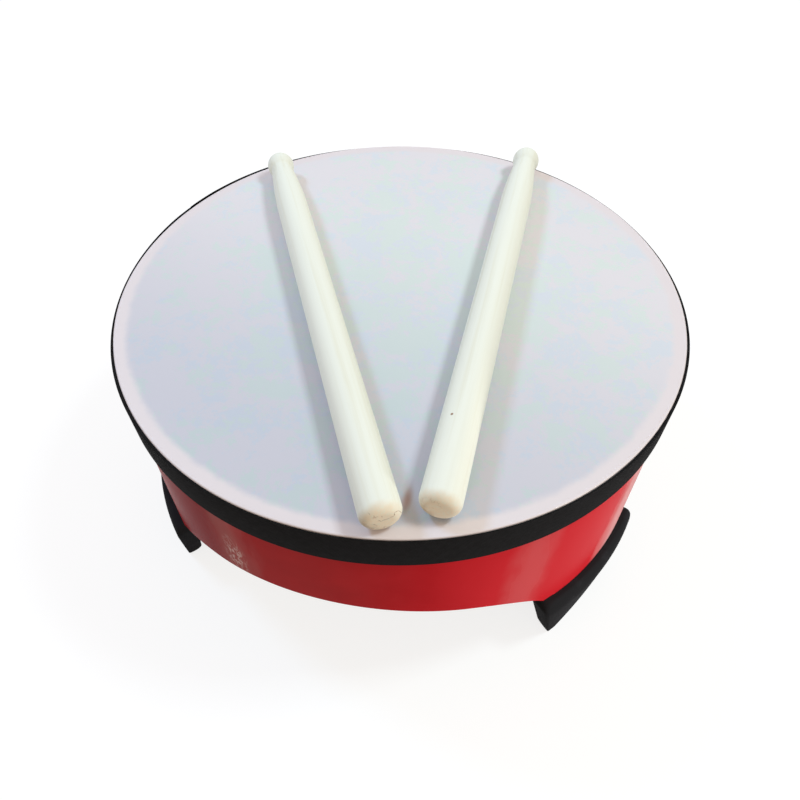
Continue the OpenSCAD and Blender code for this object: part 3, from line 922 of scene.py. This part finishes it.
def make_foot(name, middle, foot, shell, material):
    """A foot that wraps the wall's lower end, with a pocket for the tongue and screwed from inside."""
    wall_in = shell.radius - shell.wall
    pocket_out = shell.radius + foot.pocket_gap
    pocket_half = shell.tongue / 2 + foot.pocket_gap
    base_out = foot.reach - foot.lean
    base_in = base_out - foot.base
    ledge_low = foot.height - foot.ledge_fall
    end_turn = math.asin(foot.base_width / 2 / base_out)
    tilt = math.atan((foot.top_width - foot.base_width) / 2 / foot.height)
    corner_z = foot.height - foot.corner_round
    corner_x = corner_z * math.tan(tilt) - foot.corner_round / math.cos(tilt)
    corner = arc((corner_x, corner_z), foot.corner_round, -math.degrees(tilt), 90, 8)
    heel = arc((0, foot.heel_round), foot.heel_round, -90, -180, 8)
    lean_ins = {z: across for across, z in corner}
    heel_ins = {z: foot.heel_round + back for back, z in heel}
    heights = list(heel_ins) + spread(foot.heel_round, shell.tongue_low, 4)[1:]
    seat_row = len(heights) - 1
    heights += spread(shell.tongue_low, corner[0][1], 6)[1:] + [z for _, z in corner[1:]]

    def end_round(z):
        return foot.end_round + (foot.top_end_round - foot.end_round) * (z / foot.height) ** 2

    def inner_radius(z):
        line = base_in + (wall_in - base_in) * z / foot.height
        return line + heel_ins.get(z, 0)

    def end_at(radius, z):
        return end_turn + math.asin(lean_ins.get(z, z * math.tan(tilt)) / radius)

    def outer_radius(inset, hollow, z):
        climbed = min(z / ledge_low, 1)
        reach = base_out + foot.lean * climbed - foot.base_flat * hollow * (1 - climbed)
        roll = rounded_off(foot.ledge_fall, z - ledge_low) * foot.ledge_round / foot.ledge_fall
        ends = rounded_off(end_round(z), end_round(z) - inset)
        floor = rounded_off(foot.floor_round, foot.floor_round - z)
        return max(reach - roll - ends - floor, middle_radius(z) + foot.least_wall)

    def middle_radius(z):
        return max(pocket_out, (inner_radius(z) + base_out - foot.base_flat) / 2)

    def pocket_turn(radius, z):
        seat = end_at(radius, shell.tongue_low)
        return math.asin(pocket_half / radius) * min(end_at(radius, z) / seat, 1)

    cheek = [1 + back for back, _ in arc((0, 0), 1, 180, 90, 4)]
    columns = [("end", share) for share in cheek] + [("pocket", part / 8) for part in range(8, -1, -1)]
    sides = [(-1, column) for column in columns] + [(1, column) for column in reversed(columns[:-1])]

    def corner_place(i, j, k):
        z = heights[k]
        side, (kind, amount) = sides[i]
        inset, hollow = (end_round(z) * amount, 0) if kind == "end" else (end_round(z), 1 - amount ** 2)
        radius = (inner_radius(z), middle_radius(z), outer_radius(inset, hollow, z))[j]
        turn = end_at(radius, z) - inset / radius if kind == "end" else pocket_turn(radius, z) * amount
        return around(radius, middle + side * turn, z), (turn * radius, z)

    pocket_columns = range(len(cheek), len(sides) - 1 - len(cheek))
    cells = {
        (i, j, k)
        for i in range(len(sides) - 1) for j in range(2) for k in range(len(heights) - 1)
        if not (j == 0 and k >= seat_row and i in pocket_columns)
    }
    sketch = Sketch()
    sketch.blocks(corner_place, cells)
    return sketch.finish(name, [material], SHARP_EDGE)


def stick_profile(stick):
    """Half outline of a stick from the middle of its butt to the end of its bead."""
    butt_centre = (stick.butt / 2 - stick.butt_round, stick.butt_round)
    shaft_end = stick.length - stick.bead_length - stick.taper
    neck_end = stick.length - stick.bead_length
    profile = [(0, 0)] + arc(butt_centre, stick.butt_round, -90, 0, 8)
    shaft = spread(0, 1, 16)[1:]
    profile += [(stick.butt / 2 + (stick.shoulder - stick.butt) / 2 * t,
                 stick.butt_round + (shaft_end - stick.butt_round) * t) for t in shaft]
    drop = (stick.shoulder - stick.neck) / 2
    profile += [(stick.neck / 2 + drop * math.cos(math.pi / 2 * t), shaft_end + stick.taper * t)
                for t in spread(0, 1, 16)[1:]]
    start = math.acos(stick.neck / stick.bead)
    low = math.sin(start)
    for turn in spread(-start, math.pi / 2, 24)[1:-1]:
        share = (math.sin(turn) + low) / (1 + low)
        narrow = math.cos(turn) ** (stick.bead_point if turn > 0 else 1)
        profile.append((stick.bead / 2 * narrow, neck_end + stick.bead_length * share))
    return profile + [(0, stick.length)]


def make_stick(name, stick, head, side, inset, splay, material):
    """A turned stick, laid on the head along its tapered shaft."""
    sketch = Sketch()
    profile = stick_profile(stick)
    sketch.lathe(lambda turn: profile, STICK_STEPS)
    piece = sketch.finish(name, [material])
    shaft = stick.length - stick.bead_length - stick.taper
    lie = math.atan((stick.butt - stick.shoulder) / 2 / shaft)
    butt = Vector((side, inset - BAND_HIGH.x, head.top + stick.gap + stick.butt / 2))
    piece.matrix_world = (
        Matrix.Rotation(stick.turn, 4, "Z") @ Matrix.Translation(butt) @ Matrix.Rotation(splay, 4, "Z")
        @ Matrix.Rotation(-lie - math.pi / 2, 4, "X")
    )
    return piece


# Operators

class DRUM_OT_make_shell(bpy.types.Operator):
    """Bends the arched wall and glues the strip behind its seam"""

    bl_idname = "drum.make_shell"
    bl_label = "Make Shell"

    def execute(self, context):
        shell = context.scene.drum_shell
        stand_for(make_shell(shell, context.scene.drum_foot), "shell", DRUM_BODY)
        stand_for(make_joint_strip(shell), "joint_strip", DRUM_BODY)
        return {"FINISHED"}


class DRUM_OT_make_head(bpy.types.Operator):
    """Stretches the skin over the wall and folds its collar down"""

    bl_idname = "drum.make_head"
    bl_label = "Make Head"

    def execute(self, context):
        stand_for(make_head(context.scene.drum_head), "head", DRUM_BODY)
        return {"FINISHED"}


class DRUM_OT_make_ribbon(bpy.types.Operator):
    """Wraps the black ribbon round the collar and laps its end"""

    bl_idname = "drum.make_ribbon"
    bl_label = "Make Ribbon"

    def execute(self, context):
        piece, flat = make_ribbon(context.scene.drum_head)
        stand_for(piece, "rim_band", DRUM_BODY)
        return {"FINISHED"}


class DRUM_OT_make_feet(bpy.types.Operator):
    """Moulds the three feet and plates the screws and staples"""

    bl_idname = "drum.make_feet"
    bl_label = "Make Feet"

    def execute(self, context):
        foot = context.scene.drum_foot
        shell = context.scene.drum_shell
        material = black_moulding(foot)
        for side, middle in FOOT_ANGLES.items():
            piece = make_foot(f"foot_{side}_moulding", math.radians(middle), foot, shell, material)
            stand_for(piece, f"foot_{side}", DRUM_BODY)
        steel = plated_steel(foot)
        for node in ("foot_screws_left", "foot_screws_right", "foot_screws_back", "head_staples"):
            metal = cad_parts[node].data.materials
            metal.clear()
            metal.append(steel)
        return {"FINISHED"}


class DRUM_OT_make_sticks(bpy.types.Operator):
    """Turns the two drumsticks and lays them on the head"""

    bl_idname = "drum.make_sticks"
    bl_label = "Make Sticks"

    def execute(self, context):
        stick = context.scene.drum_stick
        places = {
            "stick_left": (stick.left_side, stick.left_inset, stick.left_splay),
            "stick_right": (stick.right_side, stick.right_inset, stick.right_splay),
        }
        marks = ((stick.left_cracks, stick.left_knot), (stick.right_cracks, stick.right_knot))
        for seed, (node, spot) in enumerate(places.items()):
            material = stick_wood(f"Stick wood {seed + 1}", stick, seed, *marks[seed])
            piece = make_stick(f"{node}_turned", stick, context.scene.drum_head, *spot, material)
            stand_for(piece, node, node)
        return {"FINISHED"}


class DRUM_OT_make_stage(bpy.types.Operator):
    """Lays the floor and sets the light and the camera"""

    bl_idname = "drum.make_stage"
    bl_label = "Make Stage"

    def execute(self, context):
        stage = context.scene.drum_stage
        context.scene.view_settings.view_transform = "Standard"
        self.lay_floor(stage)
        self.light_world(context, stage)
        for name in ("key", "fill", "side"):
            self.hang_lamp(context, stage, name)
        self.set_camera(context, stage)
        return {"FINISHED"}

    def lay_floor(self, stage):
        """A wide round floor."""
        sketch = Sketch()
        turns = spread(0, 2 * math.pi, FLOOR_STEPS)[:-1]
        sketch.face([sketch.point(around(stage.floor_radius, turn, 0)) for turn in turns])
        floor = sketch.finish("floor", [floor_paper(stage)])

    def light_world(self, context, stage):
        """Even light from all round, which the camera and shiny surfaces see as white."""
        world = bpy.data.worlds.new("Studio")
        world.use_nodes = True
        tree = world.node_tree
        tree.nodes.clear()
        path = add_node(tree, "ShaderNodeLightPath").outputs
        seen = calc(tree, "MAXIMUM", path["Is Camera Ray"], path["Is Glossy Ray"])
        seen = calc(tree, "MAXIMUM", seen, path["Is Transmission Ray"])
        strength = fit(tree, seen, 0, 1, stage.world, 1)
        white = blend(tree, seen, opaque(stage.world_tint), (1, 1, 1, 1))
        sky = add_node(tree, "ShaderNodeBackground", {"Color": white, "Strength": strength})
        add_node(tree, "ShaderNodeOutputWorld", {"Surface": sky.outputs[0]})
        context.scene.world = world

    def hang_lamp(self, context, stage, name):
        """A square soft lamp that gives its share of full white on a surface that faces it."""
        distance = getattr(stage, f"{name}_distance")
        turn = getattr(stage, f"{name}_turn")
        climb = getattr(stage, f"{name}_climb")
        lamp = bpy.data.lights.new(f"{name}_lamp", "AREA")
        lamp.shape = "SQUARE"
        lamp.size = getattr(stage, f"{name}_size")
        lamp.color = getattr(stage, f"{name}_tint")
        lamp.energy = getattr(stage, name) * (math.pi * distance) ** 2
        holder = bpy.data.objects.new(f"{name}_lamp", lamp)
        holder.location = around(distance * math.cos(climb), turn, distance * math.sin(climb))
        holder.rotation_euler = holder.location.to_track_quat("Z", "Y").to_euler()
        context.scene.collection.objects.link(holder)

    def set_camera(self, context, stage):
        """The camera at the photograph's viewing angle."""
        data = bpy.data.cameras.new("Camera")
        data.lens = stage.lens
        camera = bpy.data.objects.new("Camera", data)
        camera.location = around(stage.camera_back, stage.camera_turn, stage.camera_height)
        quarter = math.pi / 2
        camera.rotation_euler = Euler((quarter - stage.camera_pitch, 0, stage.camera_turn + quarter))
        context.scene.collection.objects.link(camera)
        context.scene.camera = camera


class DRUM_PT_sidebar(bpy.types.Panel):
    """Lists the drum's settings and the steps that make it"""

    bl_label = "Floor Drum"
    bl_idname = "DRUM_PT_sidebar"
    bl_space_type = "VIEW_3D"
    bl_region_type = "UI"
    bl_category = "Floor Drum"

    def draw(self, context):
        for operator in OPERATORS:
            self.layout.operator(operator.bl_idname)
        for name, group in SETTINGS.items():
            box = self.layout.box()
            for setting in group.__annotations__:
                box.prop(getattr(context.scene, name), setting)


SETTINGS = {
    "drum_shell": ShellSettings,
    "drum_head": HeadSettings,
    "drum_foot": FootSettings,
    "drum_stick": StickSettings,
    "drum_stage": StageSettings,
}
OPERATORS = (
    DRUM_OT_make_shell,
    DRUM_OT_make_head,
    DRUM_OT_make_ribbon,
    DRUM_OT_make_feet,
    DRUM_OT_make_sticks,
    DRUM_OT_make_stage,
)


def register():
    for cls in (*SETTINGS.values(), *OPERATORS, DRUM_PT_sidebar):
        bpy.utils.register_class(cls)
    for name, group in SETTINGS.items():
        setattr(bpy.types.Scene, name, PointerProperty(type=group))


def unregister():
    for name in SETTINGS:
        delattr(bpy.types.Scene, name)
    for cls in (DRUM_PT_sidebar, *reversed(OPERATORS), *SETTINGS.values()):
        bpy.utils.unregister_class(cls)


def main():
    """Makes the whole drum and its stage."""
    register()
    bpy.ops.drum.make_shell()
    bpy.ops.drum.make_head()
    bpy.ops.drum.make_ribbon()
    bpy.ops.drum.make_feet()
    bpy.ops.drum.make_sticks()
    bpy.ops.drum.make_stage()


if __name__ == "__main__":
    main()
